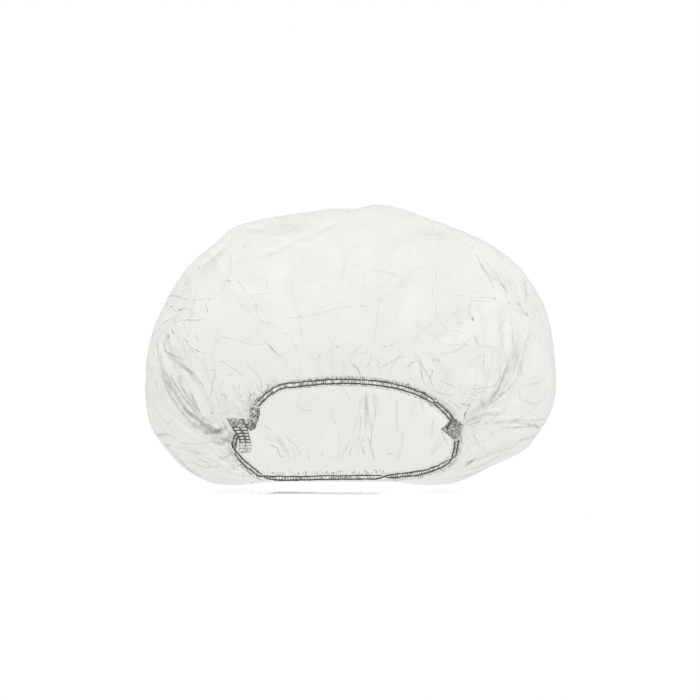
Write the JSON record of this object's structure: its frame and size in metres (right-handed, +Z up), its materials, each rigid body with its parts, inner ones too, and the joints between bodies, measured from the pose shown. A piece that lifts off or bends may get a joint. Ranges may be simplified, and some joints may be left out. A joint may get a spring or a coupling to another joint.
{
  "type": "shower cap",
  "caption": "Clear film shower cap, puffed and lying on its side, with a hollow crown gathered on a narrow elastic band round its mouth.",
  "frame": {"origin": "middle of the flat base that the cap rests on, on the floor", "axes": "+X along the cap's width, +Y from the mouth towards the back of the crown, +Z up"},
  "size_m": [0.3008, 0.1718, 0.2053],
  "materials": {
    "film": "clear, slightly milky thin vinyl-like film, soft gloss with fine crumple creases",
    "band": "narrow braided elastic, dark cord at each edge and a pale ribbed middle",
    "join": "lapped elastic under film, crimped across in fine ridges"
  },
  "bodies": {
    "root": {"crown_film": "film", "elastic_band": "band", "elastic_join": "join"}
  },
  "joints": []
}
